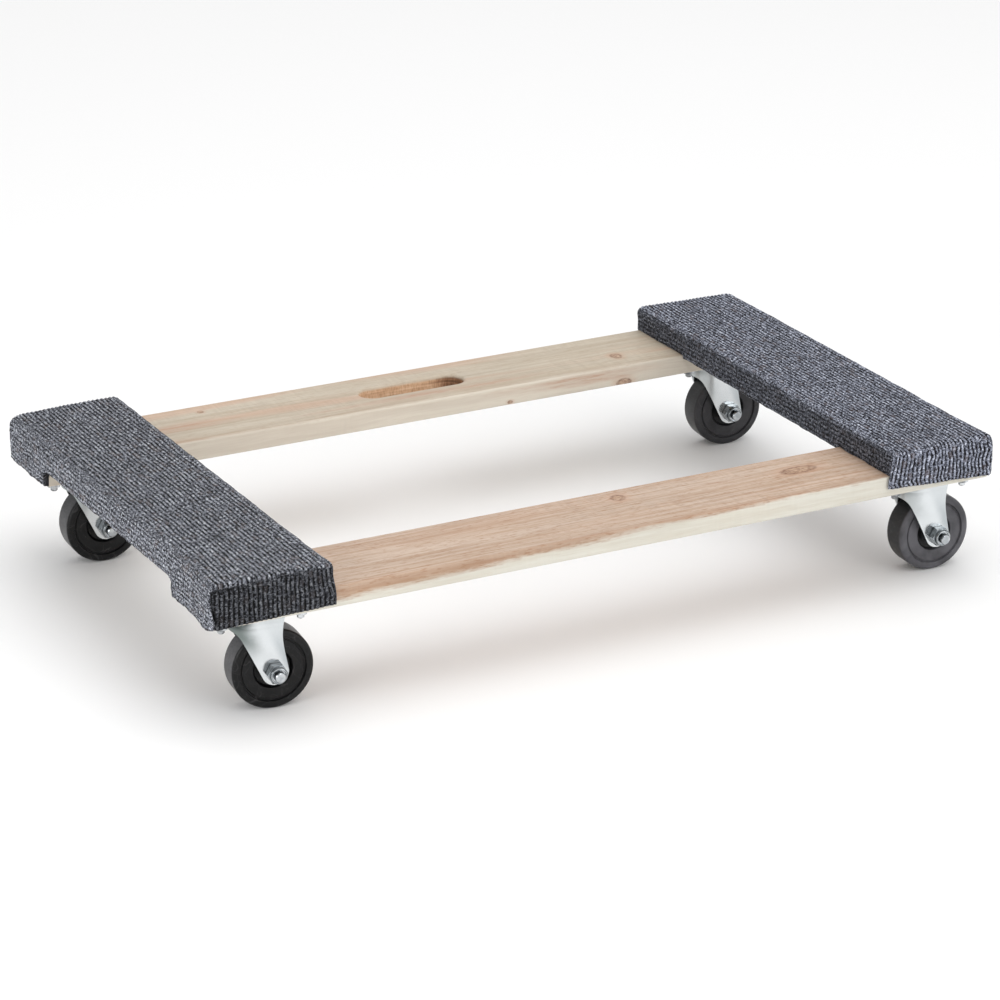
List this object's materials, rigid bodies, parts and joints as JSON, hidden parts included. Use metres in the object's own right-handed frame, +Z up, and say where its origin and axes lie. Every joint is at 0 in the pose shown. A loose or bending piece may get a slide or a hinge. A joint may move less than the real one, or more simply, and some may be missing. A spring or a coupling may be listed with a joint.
{
  "type": "furniture dolly",
  "caption": "Low furniture dolly: open hardwood frame with carpeted cross boards, a hand slot in the back rail and plate-mounted swivel casters underneath.",
  "frame": {"origin": "on the floor, under the middle of the deck", "axes": "+X along the rails, +Y from the front rail to the back rail with the hand slot, +Z up"},
  "size_m": [0.7704, 0.4576, 0.1367],
  "materials": {
    "hardwood": "planed pale hardwood with pinkish brown streaks, unsealed",
    "board_wood": "planed, hidden under the carpet",
    "carpet": "ribbed charcoal and grey heather carpet",
    "zinc_steel": "bright zinc plated pressed steel",
    "fastener_steel": "bright zinc plated",
    "ball_steel": "polished and greased",
    "staple_wire": "galvanised wire",
    "wheel_polymer": "hard black moulded polymer, semi-matte"
  },
  "bodies": {
    "deck": {"front_rail": "hardwood", "back_rail": "hardwood", "left_board": "board_wood", "right_board": "board_wood", "left_carpet": "carpet", "right_carpet": "carpet", "left_staples": "staple_wire", "right_staples": "staple_wire", "left_deck_screws": "fastener_steel", "right_deck_screws": "fastener_steel", "front_left_plate": "zinc_steel", "front_left_load_balls": "ball_steel", "front_left_lower_balls": "ball_steel", "front_left_kingpin": "zinc_steel", "front_left_race_cup": "zinc_steel", "front_left_plate_bolts": "fastener_steel", "front_left_plate_nuts": "fastener_steel", "front_right_plate": "zinc_steel", "front_right_load_balls": "ball_steel", "front_right_lower_balls": "ball_steel", "front_right_kingpin": "zinc_steel", "front_right_race_cup": "zinc_steel", "front_right_plate_bolts": "fastener_steel", "front_right_plate_nuts": "fastener_steel", "back_right_plate": "zinc_steel", "back_right_load_balls": "ball_steel", "back_right_lower_balls": "ball_steel", "back_right_kingpin": "zinc_steel", "back_right_race_cup": "zinc_steel", "back_right_plate_bolts": "fastener_steel", "back_right_plate_nuts": "fastener_steel", "back_left_plate": "zinc_steel", "back_left_load_balls": "ball_steel", "back_left_lower_balls": "ball_steel", "back_left_kingpin": "zinc_steel", "back_left_race_cup": "zinc_steel", "back_left_plate_bolts": "fastener_steel", "back_left_plate_nuts": "fastener_steel"},
    "front_left_caster": {"front_left_fork": "zinc_steel", "front_left_axle_bolt": "fastener_steel", "front_left_axle_nut": "fastener_steel", "front_left_axle_sleeve": "fastener_steel"},
    "front_left_roller": {"front_left_wheel": "wheel_polymer"},
    "front_right_caster": {"front_right_fork": "zinc_steel", "front_right_axle_bolt": "fastener_steel", "front_right_axle_nut": "fastener_steel", "front_right_axle_sleeve": "fastener_steel"},
    "front_right_roller": {"front_right_wheel": "wheel_polymer"},
    "back_right_caster": {"back_right_fork": "zinc_steel", "back_right_axle_bolt": "fastener_steel", "back_right_axle_nut": "fastener_steel", "back_right_axle_sleeve": "fastener_steel"},
    "back_right_roller": {"back_right_wheel": "wheel_polymer"},
    "back_left_caster": {"back_left_fork": "zinc_steel", "back_left_axle_bolt": "fastener_steel", "back_left_axle_nut": "fastener_steel", "back_left_axle_sleeve": "fastener_steel"},
    "back_left_roller": {"back_left_wheel": "wheel_polymer"}
  },
  "joints": [
    {"name": "front_left_swivel", "type": "hinge", "parent": "deck", "child": "front_left_caster", "pos_m": [-0.332, -0.1816, 0.086], "axis": [0, 0, 1], "continuous": true},
    {"name": "front_left_spin", "type": "hinge", "parent": "front_left_caster", "child": "front_left_roller", "pos_m": [-0.3161, -0.18341, 0.0362], "axis": [0.1132, 0.9936, 0], "continuous": true},
    {"name": "front_right_swivel", "type": "hinge", "parent": "deck", "child": "front_right_caster", "pos_m": [0.332, -0.1816, 0.086], "axis": [0, 0, 1], "continuous": true},
    {"name": "front_right_spin", "type": "hinge", "parent": "front_right_caster", "child": "front_right_roller", "pos_m": [0.34799, -0.18216, 0.0362], "axis": [0.0349, 0.9994, 0], "continuous": true},
    {"name": "back_right_swivel", "type": "hinge", "parent": "deck", "child": "back_right_caster", "pos_m": [0.332, 0.1816, 0.086], "axis": [0, 0, 1], "continuous": true},
    {"name": "back_right_spin", "type": "hinge", "parent": "back_right_caster", "child": "back_right_roller", "pos_m": [0.34796, 0.18048, 0.0362], "axis": [0.0698, 0.9976, 0], "continuous": true},
    {"name": "back_left_swivel", "type": "hinge", "parent": "deck", "child": "back_left_caster", "pos_m": [-0.332, 0.1816, 0.086], "axis": [0, 0, 1], "continuous": true},
    {"name": "back_left_spin", "type": "hinge", "parent": "back_left_caster", "child": "back_left_roller", "pos_m": [-0.31602, 0.1809, 0.0362], "axis": [0.0436, 0.999, 0], "continuous": true}
  ]
}
